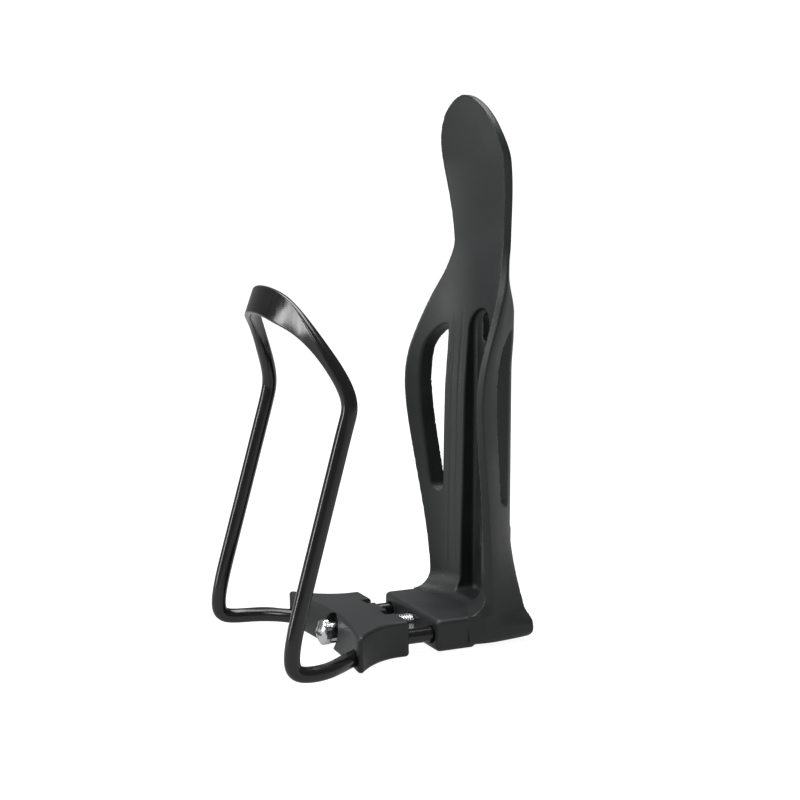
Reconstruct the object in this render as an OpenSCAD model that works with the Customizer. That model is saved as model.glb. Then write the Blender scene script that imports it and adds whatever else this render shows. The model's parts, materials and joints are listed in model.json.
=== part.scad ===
// Adjustable water bottle cage.
// A moulded cradle bolts to a bicycle frame. A sliding block in front of its foot carries
// a bent rod loop, and one long screw sets how far the block and the loop stand out.
// Axes: X across the cage, +Y back towards the bicycle frame, +Z up. The origin is on the
// mounting face, half way between the two frame bolts.

/* [Frame mount] */
// Distance between the two frame bolts
bolt_spacing = 64; // [60:1:68]
// Width of the two bolt slots
bolt_slot_w = 5.4; // [5.2:0.1:6]
// Straight length added to each bolt slot
bolt_slot_run = 4; // [2:0.5:6]
// Height of the lower bolt above the underside of the foot
low_bolt_h = 28.6; // [27:0.2:30]

/* [Cradle] */
// Height of the cradle
cradle_h = 161.6; // [160:0.2:170]
// Wall thickness of the cradle
wall = 2.8; // [2.4:0.1:3.2]
// Half width of the groove that the bolt heads sit in
groove_hw = 6.8; // [6:0.1:7.5]
// How far in front of the mounting face the groove's floor is
groove_floor = 6.4; // [6:0.1:7]
// Width of the lip between each window and the wing's edge
window_lip = 3.0; // [2.6:0.1:3.4]

/* [Foot and slider] */
// Half width of the foot and of the slider's back end
foot_hw = 18.9; // [18:0.1:20]
// Height of the foot
foot_h = 9.6; // [9:0.1:10]
// How far the foot reaches in front of the mounting face
foot_len = 32; // [30:0.5:34]
// Gap between the foot and the slider as drawn
gap = 8.6; // [8:0.1:10]
// Length of the slider between its back face and its front tips
slider_len = 20; // [19:0.5:21]
// Height of the slider
slider_h = 10.6; // [10:0.1:11]
// Half width across the slider's two front horns
horn_hw = 29.8; // [29:0.1:30.5]
// Height of the screw and of both guide pins above the underside
axis_h = 4.7; // [4.6:0.1:5]
// Distance of each guide pin from the middle
pin_x = 14.6; // [14:0.1:15]

/* [Rod loop] */
// Diameter of the rod
rod_d = 4.5; // [4:0.1:5]
// Height of the flattened band at the top of the loop
band_h = 8.6; // [6:0.1:10]
// Thickness of the flattened band
band_t = 2; // [1.6:0.1:2.6]
// Radius that the band is bent to
band_r = 39.5; // [38:0.5:42]

/* [Adjusting screw] */
// Thread diameter of the screw
screw_d = 5; // [5:1:5]
// Length of the screw under its head
screw_len = 43.2; // [40:0.2:48]
// Diameter of the screw's head
head_d = 7.5; // [7:0.1:8.5]
// Height of the screw's head
head_h = 3.4; // [3:0.1:4]

/* [Hidden] */
$fn = 64;

floor_z = -(low_bolt_h + bolt_spacing / 2);
axis_z = floor_z + axis_h;
foot_front = -foot_len;
slider_back = foot_front - gap;
slider_front = slider_back - slider_len;
slip = 0.1;    // radial room of a sliding or turning fit
press = 0.02;  // radial room of a pressed fit
eps = 0.05;    // overlap that joins two shapes of one solid

// Sections of the cradle: [height above the underside, half width, distance of the middle
// of its front surface from the mounting face, radius of the trough that holds the bottle]
SECTIONS = [
    [0, 19.6, 10.8, 40],
    [20.6, 18.6, 10.8, 32],
    [50.6, 22.0, 10.1, 29],
    [72.6, 24.1, 9.7, 29],
    [86.6, 24.1, 8.9, 30.5],
    [100.6, 21.5, 8.1, 35],
    [112.6, 16.8, 7.5, 42],
    [119.6, 15.7, 7.2, 50],
    [141.6, 19.1, 8.0, 50],
    [151.6, 19.1, 11.2, 50],
    [cradle_h, 19.1, 15.4, 50],
];
tip_start = 141.6;     // height at which the rounded tip of the paddle starts
tip_power = 0.56;    // fullness of the rounded tip
foot_fillet = 6;     // radius between the top of the foot and the cradle
back_hw = 10.6;       // half width of the flat back behind the groove
back_y = -3.7;        // place of the flat back between and below the pads
back_swell = 0.6;     // how much further back the upper pad's surroundings stand
full_top = 97.6;        // height up to which the body is thick behind the trough
thin_from = 114.6;      // height from which the paddle is a plain thin wall
side_power = 1.3;     // fullness of the sides between the wing's edge and the back
flare_top = 32.6;       // height up to which the back widens into the heel
flare_power = 1.5;
heel_kick = 0.17;     // extra share of the widening in the lowest part
heel_hw = 20.4;       // half width of the heel
sole_lift = 0.8;      // how much higher than the foot the cradle's own sole is
heel_round = 4.6;     // rounding under the heel
tuck = 1.1;           // how far the cradle's sides are drawn in at its sole
tuck_h = 2;           // height over which they are drawn in
pad_d = 10;          // diameter of the two pads that touch the bicycle frame
groove_bottom = 10.6;
groove_top = 98.6;
window_x = 14.5;     // inner side of both windows
window_bottom = 41.1;
window_top = 93.1;
window_round_top = 8;
window_round_bottom = 2.5;
pin_bore_end = -5;   // depth of the blind guide holes in the foot
nut_af = 8;          // nut: across flats, thickness and place
nut_t = 4;
nut_front = -22.2;

// Smooth curve through column k of a station list s at height h
function station_slope(s, i, k) =
    let(a = max(i - 1, 0), b = min(i + 1, len(s) - 1))
    (s[b][k] - s[a][k]) / (s[b][0] - s[a][0]);
function along(s, h, k) =
    let(i = max([for (j = [0 : len(s) - 2]) if (j == 0 || s[j][0] <= h) j]),
        span = s[i + 1][0] - s[i][0], t = (h - s[i][0]) / span,
        m0 = station_slope(s, i, k) * span, m1 = station_slope(s, i + 1, k) * span)
    s[i][k] * (2 * t^3 - 3 * t^2 + 1) + m0 * (t^3 - 2 * t^2 + t)
    + s[i + 1][k] * (3 * t^2 - 2 * t^3) + m1 * (t^3 - t^2);

function tip_factor(h) =
    h <= tip_start ? 1
    : pow(max(1 - ((h - tip_start) / (cradle_h - tip_start))^2, 0), tip_power);
function half_width(h) =
    max(along(SECTIONS, h, 1) * tip_factor(h), 0.6)
    - tuck * (max(sole_lift + tuck_h - h, 0) / tuck_h)^2;
function fillet_reach(h) =
    let(up = min(max(h - foot_h, 0), foot_fillet))
    foot_fillet - sqrt(foot_fillet^2 - (foot_fillet - up)^2);

function smooth(u) = let(v = min(max(u, 0), 1)) v * v * (3 - 2 * v);
function flare(h) =
    min(pow(max(1 - h / flare_top, 0), flare_power) + heel_kick * smooth((10 - h) / 4), 1);
function thick(h) = 1 - smooth((h - full_top) / (thin_from - full_top));
function under_round(h) =
    heel_round - sqrt(heel_round^2 - max(heel_round + sole_lift - h, 0)^2);
function back_place(h) =
    back_y * (1 - flare(h)) + back_swell * smooth((h - 80.6) / 12) - 0.4 * under_round(h);

// One plan section of the cradle: the trough's front arc from left to right, then the
// back from right to left, which is a plain wall in the paddle and a thick body below it
arc_steps = 14;
side_steps = 7;
flat_steps = 3;
function back_point(h, x, edge, corner, yc, r) =
    let(wall_y = yc + sqrt(max((r + wall)^2 - x^2, 0)),
        edge_y = yc + sqrt((r + wall)^2 - edge^2),
        u = max(abs(x) - corner, 0) / (edge - corner),
        body_y = back_place(h) + (edge_y - back_place(h)) * u^side_power)
    [x, wall_y + (max(body_y, wall_y) - wall_y) * thick(h), floor_z + h];
function cradle_section(h) =
    let(r = along(SECTIONS, h, 3), yc = -along(SECTIONS, h, 2) - r,
        a = asin(half_width(h) / r), edge = (r + wall) * sin(a),
        corner = min(back_hw + (heel_hw - back_hw) * flare(h) - under_round(h), edge * 0.95))
    concat(
        [for (i = [-arc_steps : arc_steps]) let(q = a * i / arc_steps)
            [r * sin(q), yc + r * cos(q) - fillet_reach(h), floor_z + h]],
        [for (i = [side_steps : -1 : 1])
            back_point(h, corner + (edge - corner) * i / side_steps, edge, corner, yc, r)],
        [for (i = [flat_steps : -1 : -flat_steps])
            back_point(h, corner * i / flat_steps, edge, corner, yc, r)],
        [for (i = [1 : side_steps])
            back_point(h, -corner - (edge - corner) * i / side_steps, edge, corner, yc, r)]);

// Solid through a list of rings that all have the same number of points
module skin(rings) {
    n = len(rings[0]);
    m = len(rings);
    polyhedron(
        points = [for (ring = rings) each ring],
        faces = concat(
            [[for (i = [0 : n - 1]) i]],
            [for (j = [0 : m - 2], i = [0 : n - 1]) let(k = (i + 1) % n)
                each [[j * n + i, (j + 1) * n + i, (j + 1) * n + k],
                      [j * n + i, (j + 1) * n + k, j * n + k]]],
            [[for (i = [n - 1 : -1 : 0]) (m - 1) * n + i]]));
}

module rounded_rect(w, l, r) {
    square([w - 2 * r, l], center = true);
    square([w, l - 2 * r], center = true);
    for (sx = [-1, 1], sy = [-1, 1])
        translate([sx * (w / 2 - r), sy * (l / 2 - r)]) circle(r);
}

// A slot with round ends, upright, centred on the origin of the XZ plane
module slot(w, run) {
    square([w, run], center = true);
    for (s = [-1, 1]) translate([0, s * run / 2]) circle(d = w);
}

// Places a flat shape drawn in X and Z so that it fills from y0 to y1
module across_y(y0, y1) {
    translate([0, y1, 0]) rotate([90, 0, 0]) linear_extrude(y1 - y0) children();
}

module bore_y(x, r, y0, y1) {
    translate([x, y0, axis_z]) rotate([-90, 0, 0]) cylinder(h = y1 - y0, r = r);
}

module cradle_body() {
    lower = [sole_lift, 1.3, 2, 2.8, 3.8, 5, 6, 7, 8.2, 9.6,
             10, 10.6, 11.4, 12.5, 14, 15.6, 18, 22, 27];
    middle = [for (h = [32.6 : 4 : 136.6]) h];
    tip = [for (i = [0 : 12]) tip_start + (cradle_h - tip_start) * sin(90 * i / 12)];
    skin([for (h = concat(lower, middle, tip)) cradle_section(h)]);
}

module window_outline() {
    n = 26;
    function outer(h) = half_width(h) - window_lip - window_x;
    function ease(u) = sqrt(max(1 - u^2, 0));
    function scale_at(h) =
        h > window_top - window_round_top
            ? ease((h - window_top + window_round_top) / window_round_top)
        : h < window_bottom + window_round_bottom
            ? ease((window_bottom + window_round_bottom - h) / window_round_bottom)
        : 1;
    hs = [for (i = [0 : n])
        window_bottom + (window_top - window_bottom) * (1 - cos(180 * i / n)) / 2];
    polygon(concat(
        [for (h = hs) [window_x + 0.8 + (outer(h) - 0.8) * scale_at(h), floor_z + h]],
        [for (i = [n : -1 : 0]) [window_x + 0.8 - 0.8 * scale_at(hs[i]), floor_z + hs[i]]]));
}

module groove_outline() {
    round_z = floor_z + groove_top - groove_hw;
    translate([-groove_hw, floor_z + groove_bottom])
        square([2 * groove_hw, round_z - floor_z - groove_bottom]);
    translate([0, round_z]) circle(groove_hw);
}

module foot_block() {
    back = -12;
    translate([0, (foot_front + back) / 2, floor_z])
        linear_extrude(foot_h) rounded_rect(2 * foot_hw, back - foot_front, 2);
}

module cradle() {
    color([0.07, 0.07, 0.075])
    difference() {
        union() {
            cradle_body();
            foot_block();
            for (s = [-1, 1])
                across_y(back_y - 1, 0)
                    translate([0, s * bolt_spacing / 2]) slot(pad_d, bolt_slot_run);
        }
        across_y(-30, -groove_floor) groove_outline();
        for (s = [-1, 1])
            across_y(-30, 1) translate([0, s * bolt_spacing / 2])
                slot(bolt_slot_w, bolt_slot_run);
        for (s = [0, 1]) mirror([s, 0, 0]) across_y(-40, 1) window_outline();
        for (s = [-1, 1])
            bore_y(s * pin_x, rod_d / 2 + slip, foot_front - 1, pin_bore_end);
        bore_y(0, screw_d / 2 + 0.3, foot_front - 1, 1);
        nut_pocket();
    }
}

module hexagon_y(af, y0, y1) {
    translate([0, y0, axis_z]) rotate([-90, 0, 0])
        cylinder(h = y1 - y0, d = af / cos(30), $fn = 6);
}

// Room for the nut, open to the underside of the foot
module nut_pocket() {
    room = 0.1;
    w = nut_af / cos(30) + 2 * room;
    translate([-w / 2, nut_front - room, floor_z - 1])
        cube([w, nut_t + 2 * room, axis_h + nut_af / 2 + room + 1]);
}

module captive_nut() {
    color([0.72, 0.73, 0.75])
    difference() {
        hexagon_y(nut_af, nut_front, nut_front + nut_t);
        bore_y(0, screw_d / 2 + 0.05, nut_front - 1, nut_front + nut_t + 1);
    }
}

// Plan outline of the slider, right half from the back middle round to the front middle:
// tongue, notch, ear, flared side, horn and hollow front
tongue_hw = 4.6;
notch_hw = 9.3;
notch_depth = 3.4;
tongue_depth = 1.0;
hollow_top = 4.0;    // depth of the hollow front face behind the horn tips, at its top
hollow_bottom = 2.0;
hollow_power = 1.6;  // how the hollow front face runs out to the horn tips
horn_in = 26;        // inner side of each horn's tip
waist_y = 3;         // distance in front of the slider's back where its sides start to flare

// Hollow side of the slider, t from 0 at the waist to 1 at the horn tip
function side_curve(t) =
    [foot_hw + (horn_hw - foot_hw) * t^2, slider_back - waist_y - (slider_len - waist_y) * t];

module slider_plan() {
    right = concat(
        [[tongue_hw, slider_back - tongue_depth],
         [tongue_hw, slider_back - notch_depth],
         [notch_hw, slider_back - notch_depth],
         [notch_hw, slider_back],
         [foot_hw - 1.2, slider_back],
         [foot_hw, slider_back - 1.2]],
        [for (i = [0 : 10]) side_curve(0.92 * i / 10)],
        [[horn_hw - 1.6, slider_front]]);
    polygon(concat(right, [for (i = [len(right) - 1 : -1 : 0]) [-right[i][0], right[i][1]]]));
}

// Room in front of the slider's hollow face, which leans back towards its top
module front_room() {
    function ring(h) =
        let(depth = hollow_bottom + (hollow_top - hollow_bottom) * h / slider_h)
        concat(
            [for (i = [10 : -1 : -10]) let(x = horn_in * i / 10)
                [x, slider_front + depth * (1 - abs(i / 10)^hollow_power), floor_z + h]],
            [[-horn_in, slider_front - 2, floor_z + h], [horn_in, slider_front - 2, floor_z + h]]);
    skin([ring(-1), ring(slider_h + 1)]);
}

screw_seat = slider_front + 6.4;
recess_r = 5.3;
clip_front = slider_back - tongue_depth - 1;
clip_t = 0.6;
clip_r = 3.5;
clip_groove_r = 1.6;
collar_r = 2.9;      // collar between the screw's head and the lock washer
collar_h = 3.8;
pin_front = slider_back - 14;
pin_back = foot_front + 17;

// Middle line of one rod end inside its horn: start, and the direction it leaves in
leg_start = [21.6, slider_front + 3.45, floor_z + 3.6];
leg_mouth = [24.0, slider_front, floor_z + 3.6];
function unit(v) = v / norm(v);

// Slot in a horn that holds the flattened end of the rod
module blade_slot() {
    v = leg_mouth - leg_start;
    translate(leg_start) rotate([0, 0, atan2(v[1], v[0])])
        translate([-0.1, -blade_w / 2 - press, -blade_t / 2 - press])
            cube([2 * norm(v), blade_w + 2 * press, blade_t + 2 * press]);
}

module slider() {
    color([0.07, 0.07, 0.075])
    difference() {
        translate([0, 0, floor_z]) linear_extrude(slider_h) slider_plan();
        front_room();
        bore_y(0, screw_d / 2 + slip, slider_front, slider_back + 1);
        bore_y(0, recess_r, slider_front - 1, screw_seat);
        bore_y(0, clip_r + 0.3, clip_front, slider_back + 1);
        for (s = [-1, 1]) bore_y(s * pin_x, rod_d / 2 + press, pin_front, slider_back + 1);
        for (s = [0, 1]) mirror([s, 0, 0]) blade_slot();
    }
}

module guide_pin(s) {
    color([0.05, 0.05, 0.055])
    bore_y(s * pin_x, rod_d / 2, pin_front, pin_back);
}
module guide_pin_left() { guide_pin(-1); }
module guide_pin_right() { guide_pin(1); }

// Control points of the rod's middle line, right half, from inside the horn to the middle
// of the band: a smooth curve that is straight wherever four points stand in a line
leg_step = unit(leg_mouth - leg_start) * 2.2;
upright_foot = [32.2, -84.3, 3.1];
upright_head = [31.7, -65.4, 71.6];
function on_upright(t) = upright_foot + (upright_head - upright_foot) * t;
LOOP_CONTROL = concat(
    [for (i = [-1 : 3]) leg_start - [0, 0, floor_z] + leg_step * i],
    [[28.9, -66.8, 3.7], [31.6, -71.5, 3.4], [32.4, -77.5, 3.3]],
    [[32.3, -82.6, 4.6]],
    [for (t = [0.16, 0.3, 0.46, 0.64, 0.82, 0.91, 1]) on_upright(t)],
    [[32.5, -63.5, 78.8], [20.2, -74.9, 99.4], [0, -80.9, 104.5]]);

function mirrored(p) = [-p[0], p[1], p[2]];
LOOP_HULL = concat(LOOP_CONTROL,
    [for (i = [len(LOOP_CONTROL) - 2 : -1 : 0]) mirrored(LOOP_CONTROL[i])]);
function curve_point(c, i, t) =
    ((1 - t)^3 * c[i] + (3 * t^3 - 6 * t^2 + 4) * c[i + 1]
     + (-3 * t^3 + 3 * t^2 + 3 * t + 1) * c[i + 2] + t^3 * c[i + 3]) / 6;
function curve_way(c, i, t) =
    unit((-(1 - t)^2 * c[i] + (3 * t^2 - 4 * t) * c[i + 1]
          + (-3 * t^2 + 2 * t + 1) * c[i + 2] + t^2 * c[i + 3]) / 2);

// How far the rod is flattened into the band: 1 round the front, 0 below the shoulders
function band_share(p) = smooth((27 - abs(p[0])) / 17) * (p[2] > 60 ? 1 : 0);

// How far each leg is flattened into the level blade that enters its horn
function blade_share(p) = smooth((p[1] + 77) / 7) * (p[2] < 20 ? 1 : 0);

function rod_ring(p, way) =
    let(f = band_share(p), g = blade_share(p),
        outward = unit([p[0], p[1] + band_r, band_lean * band_r * f]),
        side = unit(cross(way, outward)), normal = cross(side, way),
        half_side = rod_d / 2 + (band_h - rod_d) / 2 * f + (blade_t - rod_d) / 2 * g,
        half_normal = rod_d / 2 + (band_t - rod_d) / 2 * f + (blade_w - rod_d) / 2 * g)
    [for (i = [0 : ring_sides - 1]) let(a = -360 * i / ring_sides, c = cos(a), s = sin(a),
            q = 1 - 0.45 * max(f, g))
        [p[0], p[1], p[2] + floor_z]
        + side * half_side * sign(c) * abs(c)^q + normal * half_normal * sign(s) * abs(s)^q];
ring_sides = 24;
band_lean = 0.36;    // how far the band's outer face turns upwards, as a slope
blade_w = 4.8;       // width and thickness of the flattened ends in the horns
blade_t = 4;
curve_steps = 5;

module rod_loop() {
    color([0.04, 0.04, 0.045])
    skin([for (i = [0 : len(LOOP_HULL) - 4], j = [0 : curve_steps - 1])
        let(t = j / curve_steps)
        rod_ring(curve_point(LOOP_HULL, i, t), curve_way(LOOP_HULL, i, t))]);
}

module adjusting_screw() {
    dome = head_h * 0.45;
    collar_front = screw_seat - 0.6 - collar_h;
    head_front = collar_front - head_h;
    color([0.75, 0.76, 0.78])
    difference() {
        union() {
            bore_y(0, screw_d / 2, screw_seat - 0.65, screw_seat - 0.6 + screw_len);
            bore_y(0, collar_r, collar_front - eps, screw_seat - 0.6);
            bore_y(0, head_d / 2, head_front + dome, collar_front);
            intersection() {
                bore_y(0, head_d / 2, head_front, head_front + dome + eps);
                translate([0, head_front + 6.2, axis_z]) sphere(6.2);
            }
        }
        translate([0, head_front + 0.7, axis_z]) {
            cube([4.6, 2.4, 0.9], center = true);
            cube([0.9, 2.4, 4.6], center = true);
        }
        difference() {
            bore_y(0, screw_d, clip_front, clip_front + clip_t + 0.1);
            bore_y(0, clip_groove_r, clip_front - 1, clip_front + clip_t + 1);
        }
    }
}

module lock_washer() {
    teeth = 12;
    color([0.78, 0.79, 0.8])
    difference() {
        union() {
            bore_y(0, 3.5, screw_seat - 0.55, screw_seat);
            for (i = [0 : teeth - 1])
                translate([0, screw_seat - 0.55, axis_z]) rotate([0, i * 360 / teeth, 0])
                    translate([3.2, 0, -0.45]) cube([0.8, 0.55, 0.9]);
        }
        bore_y(0, screw_d / 2 + 0.1, screw_seat - 2, screw_seat + 1);
    }
}

module retaining_clip() {
    color([0.5, 0.5, 0.52])
    difference() {
        bore_y(0, clip_r, clip_front + 0.05, clip_front + 0.05 + clip_t);
        bore_y(0, clip_groove_r + 0.05, clip_front - 1, clip_front + clip_t + 1);
        translate([-1.3, clip_front - 1, axis_z - 5]) cube([2.6, 3, 5]);
    }
}

cradle();
slider();
rod_loop();
guide_pin_left();
guide_pin_right();
adjusting_screw();
lock_washer();
retaining_clip();
captive_nut();
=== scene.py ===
"""Looks of an adjustable water bottle cage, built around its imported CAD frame.

The moulded and small pieces are rounded solids described by distance-like fields, in
millimetres, with h the height above the floor. Each field is negative inside its solid.
"""

import json
import math

import bpy
import numpy as np
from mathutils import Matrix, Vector

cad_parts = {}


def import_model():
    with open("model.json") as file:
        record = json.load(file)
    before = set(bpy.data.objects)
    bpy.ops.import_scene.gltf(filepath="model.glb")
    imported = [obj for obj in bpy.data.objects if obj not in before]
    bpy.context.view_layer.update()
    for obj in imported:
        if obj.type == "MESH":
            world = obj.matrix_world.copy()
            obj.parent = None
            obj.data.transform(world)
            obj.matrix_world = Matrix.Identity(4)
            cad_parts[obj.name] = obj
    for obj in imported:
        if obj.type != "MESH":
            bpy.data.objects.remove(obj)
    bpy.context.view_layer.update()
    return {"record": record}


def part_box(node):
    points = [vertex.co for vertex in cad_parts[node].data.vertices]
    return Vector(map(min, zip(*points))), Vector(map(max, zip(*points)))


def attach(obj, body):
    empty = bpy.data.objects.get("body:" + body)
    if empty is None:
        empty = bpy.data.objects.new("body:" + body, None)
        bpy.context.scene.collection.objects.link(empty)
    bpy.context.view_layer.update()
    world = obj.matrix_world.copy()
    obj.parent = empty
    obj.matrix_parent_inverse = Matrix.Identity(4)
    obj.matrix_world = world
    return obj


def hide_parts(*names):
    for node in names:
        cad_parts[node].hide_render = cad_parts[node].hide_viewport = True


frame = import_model()

MM = 0.001


def node_box(node):
    """Corners of a CAD node in millimetres, with heights above the floor."""
    low, high = (np.array(c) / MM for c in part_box(node))
    return low - [0, 0, FLOOR], high - [0, 0, FLOOR]


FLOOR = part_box("cradle")[0].z / MM
CRADLE_LOW, CRADLE_HIGH = node_box("cradle")
SLIDER_LOW, SLIDER_HIGH = node_box("slider")
NUT_LOW, NUT_HIGH = node_box("captive_nut")
WASHER_LOW, WASHER_HIGH = node_box("lock_washer")
CLIP_LOW, CLIP_HIGH = node_box("retaining_clip")
SCREW_LOW, SCREW_HIGH = node_box("adjusting_screw")
PIN_LOW, PIN_HIGH = node_box("guide_pin_right")

BOLT_SPACING = frame["record"]["mounts"][0]["dims"]["spacing_y_mm"]
AXIS_H = (SCREW_LOW[2] + SCREW_HIGH[2]) / 2
FOOT_FRONT = CRADLE_LOW[1]
CRADLE_H = CRADLE_HIGH[2]
FOOT_HW = 18.9
FOOT_H = 9.6
WALL = 2.8
ROD_R = (PIN_HIGH[0] - PIN_LOW[0]) / 2
PIN_X = (PIN_HIGH[0] + PIN_LOW[0]) / 2
SCREW_R = 2.5
COLLAR_R = 2.9
COLLAR_H = 3.8
DOME_R = 6.2
PITCH = 0.8


# ---------------------------------------------------------------- fields and their surfaces

def both(a, b, r):
    """Intersection of two solids with an edge of radius r."""
    corner = np.hypot(np.maximum(a + r, 0), np.maximum(b + r, 0))
    return np.minimum(-r, np.maximum(a, b)) + corner


def either(a, b, r):
    """Union of two solids with a fillet of radius r."""
    return -both(-a, -b, r)


def without(a, b, r):
    """Solid a less solid b, with an edge of radius r."""
    return both(a, -b, r)


def smooth(u):
    v = np.clip(u, 0, 1)
    return v * v * (3 - 2 * v)


def levelled(f, *p, e=0.05):
    """The function f divided by the length of its gradient, so that it reads as a distance."""
    v = f(*p)
    total = 0.0
    for k in range(len(p)):
        q = list(p)
        q[k] = q[k] + e
        total = total + ((f(*q) - v) / e) ** 2
    return v / np.sqrt(np.maximum(total, 0.04))


def block(x, y, h, low, high, r):
    """Box between two corners, with all its edges rounded."""
    half = (np.array(high) - low) / 2 - r
    mid = (np.array(high) + low) / 2
    q = [np.abs(p - mid[k]) - half[k] for k, p in enumerate((x, y, h))]
    outside = np.sqrt(sum(np.maximum(s, 0) ** 2 for s in q))
    return outside + np.minimum(np.maximum(np.maximum(q[0], q[1]), q[2]), 0) - r


def rod_y(x, y, h, x0, r, y0, y1, edge=0.2):
    """Round bar along Y at the height of the screw."""
    around = np.hypot(x - x0, h - AXIS_H) - r
    return both(around, np.abs(y - (y0 + y1) / 2) - (y1 - y0) / 2, edge)


def upright_slot(x, h, mid_h, width, run):
    """Slot with round ends in the plane of the mounting face."""
    return np.hypot(x, np.maximum(np.abs(h - mid_h) - run / 2, 0)) - width / 2


def gradient(field, p, e=0.01):
    steps = []
    for k in range(3):
        q = p.copy()
        q[:, k] += e
        back = p.copy()
        back[:, k] -= e
        steps.append((field(*q.T) - field(*back.T)) / (2 * e))
    return np.stack(steps, 1)


def surface(field, low, high, step):
    """Points, quads and normals of the surface where field is zero, inside a box.

    Surface nets: one point for each grid cell that the surface crosses, drawn onto it.
    """
    low, high = np.array(low, float), np.array(high, float)
    axes = [np.arange(a, b + step, step) for a, b in zip(low, high)]
    count = tuple(len(a) for a in axes)
    x, y, h = axes[0][:, None, None], axes[1][None, :, None], axes[2][None, None, :]
    f = np.broadcast_to(field(x, y, h), count)
    inside = f < 0
    ids, crossings, quads = [], [], []
    for k in range(3):
        first = [slice(None)] * 3
        second = [slice(None)] * 3
        first[k], second[k] = slice(None, -1), slice(1, None)
        at = np.argwhere(inside[tuple(first)] != inside[tuple(second)])
        u, v = (k + 1) % 3, (k + 2) % 3
        keep = (at[:, u] > 0) & (at[:, v] > 0)
        keep &= (at[:, u] < count[u] - 1) & (at[:, v] < count[v] - 1)
        at = at[keep]
        e = np.eye(3, dtype=int)
        fa = f[tuple(at.T)]
        fb = f[tuple((at + e[k]).T)]
        cross = at + (fa / (fa - fb))[:, None] * e[k]
        ring = [at - e[u] - e[v], at - e[v], at, at - e[u]]
        ring = np.stack([np.ravel_multi_index(tuple(c.T), count) for c in ring], 1)
        out = fa < 0
        quads.append(np.where(out[:, None], ring, ring[:, ::-1]))
        ids.append(ring.ravel())
        crossings.append(np.repeat(cross, 4, axis=0))
    ids, crossings, quads = map(np.concatenate, (ids, crossings, quads))
    names, place = np.unique(ids, return_inverse=True)
    total = np.bincount(place)
    points = np.stack([np.bincount(place, crossings[:, k]) / total for k in range(3)], 1)
    points = low + points * step
    for _ in range(4):
        g = gradient(field, points)
        move = (field(*points.T) / np.maximum((g * g).sum(1), 0.05))[:, None] * g
        reach = np.linalg.norm(move, axis=1, keepdims=True)
        points -= move * np.minimum(1, 0.45 * step / np.maximum(reach, 1e-9))
    g = gradient(field, points)
    normals = g / np.maximum(np.linalg.norm(g, axis=1, keepdims=True), 1e-9)
    return points, np.searchsorted(names, quads), normals


def tube(rings):
    """Points and faces of a closed tube through rings that have the same number of points."""
    rings = np.asarray(rings, float)
    m, n = rings.shape[:2]
    j, i = np.meshgrid(np.arange(m - 1), np.arange(n), indexing="ij")
    k = (i + 1) % n
    faces = np.stack([j * n + i, j * n + k, (j + 1) * n + k, (j + 1) * n + i], -1)
    faces = faces.reshape(-1, 4).tolist()
    faces.append(list(range(n))[::-1])
    faces.append([(m - 1) * n + s for s in range(n)])
    return rings.reshape(-1, 3), faces


def piece(name, parts, body, nodes, material):
    """A mesh object made of (points, faces, normals or None) parts, riding on a CAD body."""
    points, faces, normals = [], [], []
    known = all(part[2] is not None for part in parts)
    start = 0
    for p, f, n in parts:
        points.append(p)
        faces += [[int(i) + start for i in face] for face in f]
        if known:
            normals.append(n)
        start += len(p)
    points = (np.concatenate(points) + [0, 0, FLOOR]) * MM
    mesh = bpy.data.meshes.new(name)
    mesh.from_pydata(points.tolist(), [], faces)
    mesh.validate()
    mesh.polygons.foreach_set("use_smooth", [True] * len(mesh.polygons))
    if known:
        mesh.normals_split_custom_set_from_vertices(np.concatenate(normals).tolist())
    mesh.materials.append(material)
    obj = bpy.data.objects.new(name, mesh)
    bpy.context.scene.collection.objects.link(obj)
    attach(obj, body)
    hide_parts(*nodes)
    return obj


# ---------------------------------------------------------------- cradle

# height, half width, distance of the front surface's middle from the mounting face, and
# radius of the trough, as the CAD sections have them
SECTIONS = np.array([
    [0, 19.6, 10.8, 40],
    [20.6, 18.6, 10.8, 32],
    [50.6, 22.0, 10.1, 29],
    [72.6, 24.1, 9.7, 29],
    [86.6, 24.1, 8.9, 30.5],
    [100.6, 21.5, 8.1, 35],
    [112.6, 16.8, 7.5, 42],
    [119.6, 15.7, 7.2, 50],
    [141.6, 19.1, 8.0, 50],
    [151.6, 19.1, 11.2, 50],
    [CRADLE_H, 19.1, 15.4, 50],
])
TIP_START = 141.6         # height at which the rounded tip of the paddle starts
TIP_POWER = 0.56          # fullness of the rounded tip
SOLE_LIFT = 0.8           # how much higher than the foot the cradle's own sole is
TUCK = 1.1                # how far the sides are drawn in at the sole, and over what height
TUCK_H = 2
FOOT_FILLET = 6           # radius between the top of the foot and the cradle
HEEL_ROUND = 4.6
HEEL_HW = 20.4
HEEL_KICK = 0.17          # extra share of the heel's widening in the lowest part
FLARE_TOP = 32.6          # height up to which the back widens into the heel
FLARE_POWER = 1.5
BACK_Y = -3.7             # place and half width of the flat back
BACK_HW = 10.6
BACK_SWELL = 0.6          # how much further back the surroundings of the upper pad stand
SIDE_POWER = 1.3          # fullness of the sides between the wing's edge and the back
FULL_TOP = 97.6           # heights between which the thick body thins into the paddle
THIN_FROM = 114.6
GROOVE_HW = 6.8
GROOVE_FLOOR = -6.4
GROOVE_BOTTOM = 10.6
GROOVE_TOP = 98.6
WINDOW_X = 14.5
WINDOW_INNER_W = 0.8      # width of the rounding at a window's inner side
WINDOW_BOTTOM = 41.1
WINDOW_TOP = 93.1
WINDOW_ROUND_BOTTOM = 2.5
WINDOW_ROUND_TOP = 8
WINDOW_LIP = 3.0
BOLT_SLOT_W = 5.4
BOLT_SLOT_RUN = 4
PAD_D = 10


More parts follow.
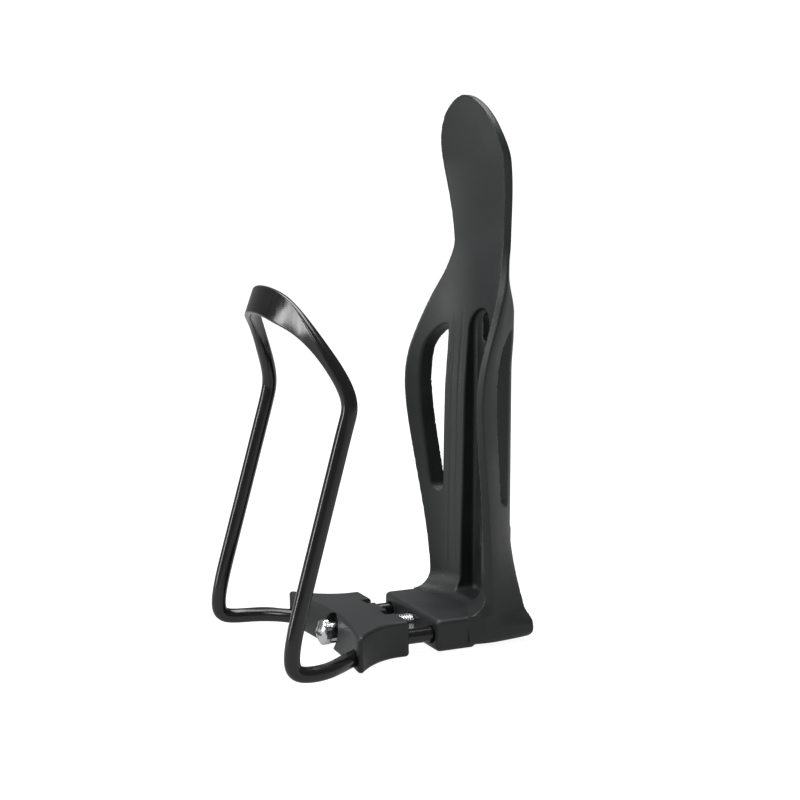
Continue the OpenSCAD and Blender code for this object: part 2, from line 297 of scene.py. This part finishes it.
def along(h, column):
    """Smooth curve through one column of the sections."""
    s = SECTIONS
    slopes = np.empty(len(s))
    slopes[1:-1] = (s[2:, column] - s[:-2, column]) / (s[2:, 0] - s[:-2, 0])
    slopes[0] = (s[1, column] - s[0, column]) / (s[1, 0] - s[0, 0])
    slopes[-1] = (s[-1, column] - s[-2, column]) / (s[-1, 0] - s[-2, 0])
    i = np.clip(np.searchsorted(s[:, 0], h, side="right") - 1, 0, len(s) - 2)
    span = s[i + 1, 0] - s[i, 0]
    t = (h - s[i, 0]) / span
    return (s[i, column] * (2 * t**3 - 3 * t**2 + 1)
            + slopes[i] * span * (t**3 - 2 * t**2 + t)
            + s[i + 1, column] * (3 * t**2 - 2 * t**3)
            + slopes[i + 1] * span * (t**3 - t**2))


def half_width(h):
    """Half width of the cradle, before its rounded tip."""
    tuck = TUCK * (np.clip(SOLE_LIFT + TUCK_H - h, 0, TUCK_H) / TUCK_H) ** 2
    return along(h, 1) - tuck


def fillet_reach(h):
    up = np.clip(h - FOOT_H, 0, FOOT_FILLET)
    return FOOT_FILLET - np.sqrt(FOOT_FILLET**2 - (FOOT_FILLET - up) ** 2)


def back_surface(x, h):
    """Place of the cradle's back, as in the CAD sections."""
    r = along(h, 3)
    yc = -along(h, 2) - r
    a = np.arcsin(np.clip(half_width(h) / r, 0, 0.95))
    edge = (r + WALL) * np.sin(a)
    low = np.maximum(HEEL_ROUND + SOLE_LIFT - h, 0)
    under = HEEL_ROUND - np.sqrt(np.maximum(HEEL_ROUND**2 - low**2, 0))
    flare = np.maximum(1 - h / FLARE_TOP, 0) ** FLARE_POWER + HEEL_KICK * smooth((10 - h) / 4)
    flare = np.minimum(flare, 1)
    corner = np.minimum(BACK_HW + (HEEL_HW - BACK_HW) * flare - under, edge * 0.95)
    wall_y = yc + np.sqrt(np.maximum((r + WALL) ** 2 - x**2, 1))
    edge_y = yc + np.sqrt((r + WALL) ** 2 - edge**2)
    place = BACK_Y * (1 - flare) + BACK_SWELL * smooth((h - 80.6) / 12) - 0.4 * under
    u = np.clip((np.abs(x) - corner) / (edge - corner), 0, 1.2)
    body_y = place + (edge_y - place) * u**SIDE_POWER
    thick = 1 - smooth((h - FULL_TOP) / (THIN_FROM - FULL_TOP))
    return wall_y + (np.maximum(body_y, wall_y) - wall_y) * thick


def outline(x, h):
    """Below zero inside the cradle's outline as seen from the front."""
    t = np.maximum(h - TIP_START, 0) / (CRADLE_H - TIP_START)
    return (np.abs(x) / half_width(h)) ** (1 / TIP_POWER) + t * t - 1


def window(x, h):
    """Below zero inside either side window, in the plane of the mounting face."""
    x = np.abs(x)
    mid = WINDOW_X + WINDOW_INNER_W
    outer = np.maximum(half_width(h) - WINDOW_LIP - mid, 2)
    wide = np.where(x > mid, (x - mid) / outer, (mid - x) / WINDOW_INNER_W)
    top = np.maximum(h - (WINDOW_TOP - WINDOW_ROUND_TOP), 0) / WINDOW_ROUND_TOP
    bottom = np.maximum(WINDOW_BOTTOM + WINDOW_ROUND_BOTTOM - h, 0) / WINDOW_ROUND_BOTTOM
    return wide**2 + top**2 + bottom**2 - 1


def cradle_field(x, y, h):
    reach = fillet_reach(h)
    r = along(h, 3)
    yc = -along(h, 2) - r
    across = np.hypot(x, y + reach - yc)
    mould_line = 0.16 * (np.exp(-((np.abs(x) - 9.2) / 0.45) ** 2)
                         + np.exp(-((np.abs(x) - 12.4) / 0.45) ** 2))
    lines_fade = smooth((h - 16) / 6) * smooth((100 - h) / 8)
    front = r - across - mould_line * lines_fade
    # the side runs from the trough's edge out to the edge of the wall behind it
    hw = half_width(h)
    edge = (r + WALL) * hw / r
    front_y = yc + np.sqrt(np.maximum(r**2 - hw**2, 1)) - reach
    edge_y = yc + np.sqrt(np.maximum((r + WALL)**2 - edge**2, 1))
    deep = np.clip((y - front_y) / (edge_y - front_y), 0, 1)
    side = levelled(outline, x * hw / (hw + (edge - hw) * deep), h)
    slope = (back_surface(x + 0.05, h) - back_surface(x, h)) / 0.05
    rise = (back_surface(x, h + 0.05) - back_surface(x, h)) / 0.05
    back = (y - back_surface(x, h)) / np.sqrt(1 + slope**2 + rise**2)
    body = both(both(front, side, 0.4), back, 1.0)
    body = both(body, SOLE_LIFT - h, 0.6)

    for s in (-1, 1):
        mid_h = -FLOOR + s * BOLT_SPACING / 2
        pad = both(upright_slot(x, h, mid_h, PAD_D, BOLT_SLOT_RUN), y, 0.5)
        pad = both(pad, BACK_Y - 1.5 - y, 0.1)
        body = either(body, pad, 0.4)

    foot = block(x, y, h, [-FOOT_HW, FOOT_FRONT, 0], [FOOT_HW, -19, FOOT_H], 1.5)
    inner_foot = block(x, y, h, [3 - FOOT_HW, -25, 0], [FOOT_HW - 3, -12, FOOT_H], 1.5)
    body = np.minimum(body, np.minimum(foot, inner_foot))

    groove = np.hypot(x, np.maximum(h - (GROOVE_TOP - GROOVE_HW), 0)) - GROOVE_HW
    groove = both(groove, GROOVE_BOTTOM - h, 2)
    body = without(body, both(groove, y - GROOVE_FLOOR, 1.2), 0.6)
    body = without(body, levelled(window, x, h), 0.5)
    for s in (-1, 1):
        mid_h = -FLOOR + s * BOLT_SPACING / 2
        bolt_slot = upright_slot(x, h, mid_h, BOLT_SLOT_W, BOLT_SLOT_RUN)
        body = without(body, bolt_slot, 0.25)
        body = without(body, rod_y(x, y, h, s * PIN_X, ROD_R + 0.1, FOOT_FRONT - 9, -5), 0.5)
    body = without(body, rod_y(x, y, h, 0, SCREW_R + 0.3, FOOT_FRONT - 9, 9), 0.4)
    pocket_low = [NUT_LOW[0] - 0.1, NUT_LOW[1] - 0.1, -5]
    pocket_high = [NUT_HIGH[0] + 0.1, NUT_HIGH[1] + 0.1, NUT_HIGH[2] + 0.1]
    return without(body, block(x, y, h, pocket_low, pocket_high, 0.1), 0.15)


# ---------------------------------------------------------------- slider and small pieces

HORN_HW = 29.8
SCREW_SEAT = WASHER_HIGH[1]
SLIDER_H = SLIDER_HIGH[2]
WAIST_Y = 3          # distance in front of the slider's back where its sides start to flare
HOLLOW_HW = 26
HOLLOW_BOTTOM = 2    # depth of the hollow front face behind the horn tips, at its bottom
HOLLOW_EXTRA = 2     # and how much deeper it is at its top
HOLLOW_POWER = 1.6
RECESS_R = 5.3       # recess round the screw's head
LEG_H = 3.6          # height of the rod's ends inside the horns
BLADE_W = 4.8
BLADE_T = 4


def slider_field(x, y, h):
    ax = np.abs(x)
    back_y, front_y = SLIDER_HIGH[1], SLIDER_LOW[1]
    waist_y = back_y - WAIST_Y
    t = np.clip((waist_y - y) / (waist_y - front_y), 0, 1)
    side = FOOT_HW + (HORN_HW - FOOT_HW) * t**2
    lean = 2 * (HORN_HW - FOOT_HW) * t / (waist_y - front_y)
    side = (ax - np.minimum(side, SLIDER_HIGH[0])) / np.sqrt(1 + lean**2)
    # the flank is a little hollow between its top and bottom edges
    side = side + 0.2 * np.clip(1 - (2 * h / SLIDER_H - 1) ** 2, 0, 1)
    depth = HOLLOW_BOTTOM + HOLLOW_EXTRA * h / SLIDER_H
    share = np.minimum(ax / HOLLOW_HW, 1)
    hollow = front_y + depth * (1 - share**HOLLOW_POWER) - y
    lean = HOLLOW_POWER * depth / HOLLOW_HW * share ** (HOLLOW_POWER - 1) * (ax < HOLLOW_HW)
    hollow = hollow / np.sqrt(1 + lean**2)
    plan = both(both(side, hollow, 0.8), y - back_y, 1.2)
    body = both(plan, np.abs(h - SLIDER_H / 2) - SLIDER_H / 2, 1.1)
    notch = block(ax, y, h, [4.6, back_y - 3.4, -5], [9.3, back_y + 9, 15], 0.3)
    body = without(body, notch, 0.4)
    tongue = block(x, y, h, [-5, back_y - 1, -5], [5, back_y + 9, 15], 0.1)
    body = without(body, tongue, 0.4)
    body = without(body, rod_y(x, y, h, 0, SCREW_R + 0.1, front_y - 9, back_y + 9), 0.2)
    body = without(body, rod_y(x, y, h, 0, RECESS_R, front_y - 9, SCREW_SEAT), 0.5)
    body = without(body, rod_y(x, y, h, 0, 3.8, CLIP_LOW[1] - 0.05, back_y + 9), 0.3)
    body = without(body, rod_y(ax, y, h, PIN_X, ROD_R + 0.02, PIN_LOW[1], back_y + 9), 0.3)
    start, way = leg_line()
    along_leg = (ax - start[0]) * way[0] + (y - start[1]) * way[1]
    across_leg = -(ax - start[0]) * way[1] + (y - start[1]) * way[0]
    slot_w, slot_t = BLADE_W / 2 + 0.05, BLADE_T / 2 + 0.05
    slot = block(along_leg, across_leg, h, [2, -slot_w, start[2] - slot_t],
                 [40, slot_w, start[2] + slot_t], 0.9)
    slot = both(slot, side + 1.4, 0.1)
    return without(body, slot, 0.35)


def leg_line():
    """Start of the rod's end inside its horn, and the level direction it leaves in."""
    front_y = SLIDER_LOW[1]
    start = np.array([21.6, front_y + 3.45, LEG_H])
    mouth = np.array([24.0, front_y, LEG_H])
    return start, (mouth - start) / np.linalg.norm(mouth - start)


def screw_head_field(x, y, h):
    around = np.hypot(x, h - AXIS_H)
    turn = np.arctan2(h - AXIS_H, x)
    front = SCREW_LOW[1]
    head_r = SCREW_HIGH[0]
    back = WASHER_LOW[1] - 0.05 - COLLAR_H
    ball = np.sqrt(around**2 + (y - front - DOME_R) ** 2) - DOME_R
    flutes = 0.12 * np.abs(np.sin(9 * turn)) * smooth((y - front - 1.7) / 0.3)
    head = both(around - head_r + flutes, ball, 0.35)
    head = both(head, y - back, 0.25)
    cross = np.minimum(block(x, y, h, [-2.2, front - 3, AXIS_H - 0.42],
                             [2.2, front + 1.3, AXIS_H + 0.42], 0.2),
                       block(x, y, h, [-0.42, front - 3, AXIS_H - 2.2],
                             [0.42, front + 1.3, AXIS_H + 2.2], 0.2))
    head = without(head, cross, 0.15)
    collar = rod_y(x, y, h, 0, COLLAR_R, back - 0.5, WASHER_LOW[1] - 0.02, 0.1)
    shank = rod_y(x, y, h, 0, SCREW_R, back - 0.5, CLIP_LOW[1] - 0.1, 0.1)
    return np.minimum(np.minimum(head, collar), shank)


def thread_rings():
    """The threaded length of the screw, from the clip's groove to its tip."""
    sides, per_turn, depth = 48, 12, 0.5
    start, end = CLIP_LOW[1] - 0.15, SCREW_HIGH[1]
    rings = []
    for y in np.arange(start, end + 1e-6, PITCH / per_turn):
        turn = np.arange(sides) / sides
        phase = ((y - start) / PITCH + turn) % 1
        ridge = np.clip(np.abs(phase - 0.5) * 2.6 - 0.15, 0, 1)
        r = SCREW_R - depth * ridge
        clip_gap = CLIP_LOW[1] - 0.02 < y < CLIP_HIGH[1] + 0.02
        r = np.where(clip_gap, 1.62, np.minimum(r, 1.7 + max(end - y, 0)))
        a = 2 * np.pi * turn
        rings.append(np.stack([r * np.cos(a), np.full(sides, y), AXIS_H - r * np.sin(a)], 1))
    return rings


def washer_field(x, y, h):
    around = np.hypot(x, h - AXIS_H)
    turn = np.arctan2(h - AXIS_H, x)
    teeth = 0.42 * (0.5 + 0.5 * np.cos(14 * turn)) ** 0.6
    twist = 0.22 * np.sin(14 * turn) * smooth((around - 2.9) / 0.8)
    mid = (WASHER_LOW[1] + WASHER_HIGH[1]) / 2
    disc = both(around - WASHER_HIGH[0] + teeth, np.abs(y - mid - twist * 0.2) - 0.2, 0.06)
    return without(disc, around - SCREW_R - 0.1, 0.06)


def clip_field(x, y, h):
    around = np.hypot(x, h - AXIS_H)
    mid = (CLIP_LOW[1] + CLIP_HIGH[1]) / 2
    ring = both(around - CLIP_HIGH[0], np.abs(y - mid) - 0.3, 0.1)
    ring = without(ring, around - 1.65, 0.08)
    return without(ring, block(x, y, h, [-1.3, mid - 5, AXIS_H - 9], [1.3, mid + 5, AXIS_H], 0.3), 0.2)


def nut_field(x, y, h):
    up = h - AXIS_H
    flats = np.maximum(np.abs(up), np.abs(x) * math.cos(math.pi / 6) + np.abs(up) / 2) - 4
    mid = (NUT_LOW[1] + NUT_HIGH[1]) / 2
    around = np.hypot(x, up)
    faces = np.abs(y - mid) - 2
    chamfer = (around + faces * 1.7 - 4.1) / 2
    body = both(both(flats, faces, 0.1), chamfer, 0.05)
    return without(body, around - SCREW_R - 0.05, 0.25)


def pin_field(s):
    def field(x, y, h):
        return rod_y(x, y, h, s * PIN_X, ROD_R, PIN_LOW[1], PIN_HIGH[1], 0.5)
    return field


# ---------------------------------------------------------------- rod loop

BAND_R = 39.5
BAND_H = 8.6
BAND_T = 2
BAND_LEAN = 0.36
LOOP_SKIN = 0.985    # keeps the smooth bent rod inside the many-sided solid it stands for


def unit(v):
    return v / np.linalg.norm(v)


def loop_line():
    """Control points of the rod's middle line: the right half, then the left."""
    start, way = leg_line()
    foot, head = np.array([32.2, -84.3, 3.1]), np.array([31.7, -65.4, 71.6])
    half = [start + way * 2.2 * i for i in range(-1, 4)]
    half += [np.array(p) for p in ([28.9, -66.8, 3.7], [31.6, -71.5, 3.4],
                                   [32.4, -77.5, 3.3], [32.3, -82.6, 4.6])]
    half += [foot + (head - foot) * t for t in (0.16, 0.3, 0.46, 0.64, 0.82, 0.91, 1)]
    half += [np.array(p) for p in ([32.5, -63.5, 78.8], [20.2, -74.9, 99.4], [0, -80.9, 104.5])]
    return half + [p * [-1, 1, 1] for p in half[-2::-1]]


def loop_rings():
    sides, steps = 48, 12
    c = loop_line()
    rings = []
    for i in range(len(c) - 3):
        for j in range(steps + (i == len(c) - 4)):
            t = j / steps
            p = ((1 - t)**3 * c[i] + (3*t**3 - 6*t**2 + 4) * c[i + 1]
                 + (-3*t**3 + 3*t**2 + 3*t + 1) * c[i + 2] + t**3 * c[i + 3]) / 6
            way = unit(-(1 - t)**2 * c[i] + (3*t**2 - 4*t) * c[i + 1]
                       + (-3*t**2 + 2*t + 1) * c[i + 2] + t**2 * c[i + 3])
            band = float(smooth((27 - abs(p[0])) / 17)) * (p[2] > 60)
            blade = float(smooth((p[1] + 77) / 7)) * (p[2] < 20)
            outward = unit(np.array([p[0], p[1] + BAND_R, BAND_LEAN * BAND_R * band]))
            side = unit(np.cross(way, outward))
            normal = np.cross(side, way)
            wide = ROD_R + (BAND_H / 2 - ROD_R) * band
            deep = ROD_R + (BLADE_W / 2 - ROD_R) * blade
            # the pressed face turns inwards as it runs out towards the shoulders
            pressed = float(smooth((31 - abs(p[0])) / 15)) * (p[2] > 60)
            turn = 0.45 * (1 - pressed)
            flat_band = ROD_R + (BAND_T / 2 - ROD_R) * pressed
            flat_blade = ROD_R + (BLADE_T / 2 - ROD_R) * blade
            a = 2 * np.pi * np.arange(sides) / sides
            u = wide * np.cos(a)
            v = deep * np.sin(a)
            if blade > 0:
                u = np.clip(u, -flat_blade, flat_blade)
            if pressed > 0:
                for s in (1, -1):
                    over = np.maximum(s * v * math.cos(turn) - u * math.sin(turn) - flat_band, 0)
                    v = v - s * over * math.cos(turn)
                    u = u + over * math.sin(turn)
            rings.append(p + (u[:, None] * side + v[:, None] * normal) * LOOP_SKIN)
    return rings


# ---------------------------------------------------------------- materials

def new_material(name, color, roughness, metallic=0.0):
    m = bpy.data.materials.new(name)
    m.use_nodes = True
    shader = m.node_tree.nodes["Principled BSDF"]
    shader.inputs["Base Color"].default_value = (*color, 1)
    shader.inputs["Roughness"].default_value = roughness
    shader.inputs["Metallic"].default_value = metallic
    return m, m.node_tree, shader


def noise(tree, scale, detail, stretch=(1, 1, 1)):
    """Noise in object space, in metres; stretch scales each axis."""
    where = tree.nodes.new("ShaderNodeTexCoord")
    mapping = tree.nodes.new("ShaderNodeMapping")
    mapping.inputs["Scale"].default_value = stretch
    texture = tree.nodes.new("ShaderNodeTexNoise")
    texture.inputs["Scale"].default_value = scale
    texture.inputs["Detail"].default_value = detail
    tree.links.new(where.outputs["Object"], mapping.inputs["Vector"])
    tree.links.new(mapping.outputs["Vector"], texture.inputs["Vector"])
    return texture


def ramp(tree, source, low, high, a, b):
    """Maps source from low..high to a..b."""
    node = tree.nodes.new("ShaderNodeMapRange")
    for name, value in (("From Min", low), ("From Max", high), ("To Min", a), ("To Max", b)):
        node.inputs[name].default_value = value
    tree.links.new(source, node.inputs["Value"])
    return node.outputs["Result"]


def mixed(tree, factor, a, b):
    node = tree.nodes.new("ShaderNodeMix")
    node.data_type = "RGBA"
    node.inputs["A"].default_value = (*a, 1)
    node.inputs["B"].default_value = (*b, 1)
    tree.links.new(factor, node.inputs["Factor"])
    return node.outputs["Result"]


def bump(tree, height, distance, strength, before=None):
    node = tree.nodes.new("ShaderNodeBump")
    node.inputs["Distance"].default_value = distance
    node.inputs["Strength"].default_value = strength
    tree.links.new(height, node.inputs["Height"])
    if before is not None:
        tree.links.new(before, node.inputs["Normal"])
    return node.outputs["Normal"]


def plastic():
    m, tree, shader = new_material("black_nylon", (0.016, 0.017, 0.018), 0.5)
    cloud = noise(tree, 60, 4)
    grain = noise(tree, 2600, 3)
    color = mixed(tree, ramp(tree, cloud.outputs["Fac"], 0.3, 0.7, 0, 1),
                  (0.006, 0.0072, 0.0078), (0.011, 0.0122, 0.013))
    tree.links.new(color, shader.inputs["Base Color"])
    tree.links.new(ramp(tree, cloud.outputs["Fac"], 0.3, 0.7, 0.42, 0.56),
                   shader.inputs["Roughness"])
    # flash scraped off the fillet between the far side of the trough and the foot
    where = tree.nodes.new("ShaderNodeTexCoord")
    away = tree.nodes.new("ShaderNodeVectorMath")
    away.operation = "DISTANCE"
    away.inputs[1].default_value = (-0.0118, -0.0192, -0.0455)
    tree.links.new(where.outputs["Object"], away.inputs[0])
    flakes = noise(tree, 1100, 4, (1, 1, 0.6))
    near = ramp(tree, away.outputs["Value"], 0.003, 0.0075, 0.28, -0.25)
    patch = tree.nodes.new("ShaderNodeMath")
    patch.operation = "ADD"
    tree.links.new(near, patch.inputs[0])
    tree.links.new(flakes.outputs["Fac"], patch.inputs[1])
    scraped = ramp(tree, patch.outputs["Value"], 0.58, 0.72, 0, 1)
    pale = mixed(tree, scraped, (0, 0, 0), (0.11, 0.115, 0.12))
    tree.links.new(color, pale.node.inputs["A"])
    tree.links.new(pale, shader.inputs["Base Color"])
    flaky = bump(tree, scraped, 0.0002, 0.6)
    normal = bump(tree, grain.outputs["Fac"], 0.00003, 0.5, flaky)
    tree.links.new(normal, shader.inputs["Normal"])
    return m


def coated_rod():
    m, tree, shader = new_material("black_rod", (0.004, 0.004, 0.0045), 0.2)
    streak = noise(tree, 500, 3, (1, 1, 0.15))
    tree.links.new(ramp(tree, streak.outputs["Fac"], 0.35, 0.7, 0.13, 0.24),
                   shader.inputs["Roughness"])
    tree.links.new(bump(tree, streak.outputs["Fac"], 0.00004, 0.15), shader.inputs["Normal"])
    return m


def plated(name, color, roughness):
    m, tree, shader = new_material(name, color, roughness, metallic=1.0)
    spots = noise(tree, 700, 4)
    tree.links.new(ramp(tree, spots.outputs["Fac"], 0.3, 0.7, roughness * 0.7, roughness * 1.5),
                   shader.inputs["Roughness"])
    tree.links.new(bump(tree, spots.outputs["Fac"], 0.00003, 0.4), shader.inputs["Normal"])
    return m


NYLON = plastic()
ROD = coated_rod()
ZINC = plated("zinc_steel", (0.56, 0.57, 0.58), 0.18)
SPRING = plated("spring_steel", (0.4, 0.4, 0.42), 0.35)


# ---------------------------------------------------------------- pieces

def solid(field, low, high, step):
    margin = 2 * step
    points, faces, normals = surface(field, np.array(low) - margin, np.array(high) + margin, step)
    return points, faces, normals


def bare(points_faces):
    return points_faces[0], points_faces[1], None


piece("cradle_moulding", [solid(cradle_field, CRADLE_LOW, CRADLE_HIGH, 0.5)],
      "cradle", ["cradle"], NYLON)
piece("slider_block", [solid(slider_field, SLIDER_LOW, SLIDER_HIGH, 0.3)],
      "slider", ["slider"], NYLON)
piece("rod_loop_bent", [bare(tube(loop_rings()))], "slider", ["rod_loop"], ROD)
for s, side_name in ((-1, "left"), (1, "right")):
    low, high = node_box("guide_pin_" + side_name)
    piece("guide_pin_bar_" + side_name, [solid(pin_field(s), low, high, 0.3)],
          "slider", ["guide_pin_" + side_name], ROD)
head_high = [SCREW_HIGH[0], CLIP_LOW[1], SCREW_HIGH[2]]
piece("screw_head", [solid(screw_head_field, SCREW_LOW, head_high, 0.13)],
      "screw", ["adjusting_screw"], ZINC)
piece("screw_thread", [bare(tube(thread_rings()))], "screw", [], ZINC)
piece("toothed_washer", [solid(washer_field, WASHER_LOW, WASHER_HIGH, 0.08)],
      "slider", ["lock_washer"], ZINC)
piece("snap_clip", [solid(clip_field, CLIP_LOW, CLIP_HIGH, 0.1)],
      "screw", ["retaining_clip"], SPRING)
piece("hex_nut", [solid(nut_field, NUT_LOW, NUT_HIGH, 0.16)],
      "cradle", ["captive_nut"], ZINC)


# ---------------------------------------------------------------- floor, light, camera

def camera_share(tree, for_others, for_camera):
    """A value that differs between camera rays and all other rays."""
    path = tree.nodes.new("ShaderNodeLightPath")
    return ramp(tree, path.outputs["Is Camera Ray"], 0, 1, for_others, for_camera)


def floor():
    mesh = bpy.data.meshes.new("floor")
    reach, z = 6.0, FLOOR * MM - 0.0002
    mesh.from_pydata([(-reach, -reach, z), (reach, -reach, z), (reach, reach, z),
                      (-reach, reach, z)], [], [(0, 1, 2, 3)])
    m, tree, shader = new_material("floor", (0.2, 0.2, 0.2), 0.6)
    shader.inputs["Emission Color"].default_value = (1, 1, 1, 1)
    tree.links.new(camera_share(tree, 0.4, 0.95), shader.inputs["Emission Strength"])
    shader.inputs["Specular IOR Level"].default_value = 0.0
    mesh.materials.append(m)
    obj = bpy.data.objects.new("floor", mesh)
    bpy.context.scene.collection.objects.link(obj)


def area_light(name, place, target, size, watts):
    data = bpy.data.lights.new(name, "AREA")
    data.shape = "RECTANGLE"
    data.size, data.size_y = size
    data.energy = watts
    obj = bpy.data.objects.new(name, data)
    obj.location = place
    obj.rotation_euler = (Vector(target) - Vector(place)).to_track_quat("-Z", "Y").to_euler()
    bpy.context.scene.collection.objects.link(obj)


def world():
    w = bpy.data.worlds.new("studio")
    bpy.context.scene.world = w
    w.use_nodes = True
    tree = w.node_tree
    background = tree.nodes["Background"]
    tree.links.new(camera_share(tree, 0.25, 1.2), background.inputs["Strength"])
    background.inputs["Color"].default_value = (1, 1, 1, 1)


def camera():
    data = bpy.data.cameras.new("camera")
    data.lens = 64.6
    data.sensor_width = 36
    data.clip_start = 0.01
    obj = bpy.data.objects.new("camera", data)
    obj.location = (0.3827, -0.2111, 0.0638)
    look = Vector((-0.9018, 0.4144, -0.1229))
    obj.rotation_euler = look.to_track_quat("-Z", "Y").to_euler()
    bpy.context.scene.collection.objects.link(obj)
    bpy.context.scene.camera = obj


floor()
world()
camera()
MIDDLE = (0, -0.04, 0.02)
area_light("overhead", (-0.1, 0.0, 1.0), MIDDLE, (0.9, 0.9), 20)
area_light("strip", (-0.27, -1.2, 0.44), MIDDLE, (0.22, 1.0), 8)
area_light("front", (0.38, -1.06, 0.65), MIDDLE, (0.35, 0.4), 3.5)
bpy.context.scene.view_settings.view_transform = "Standard"
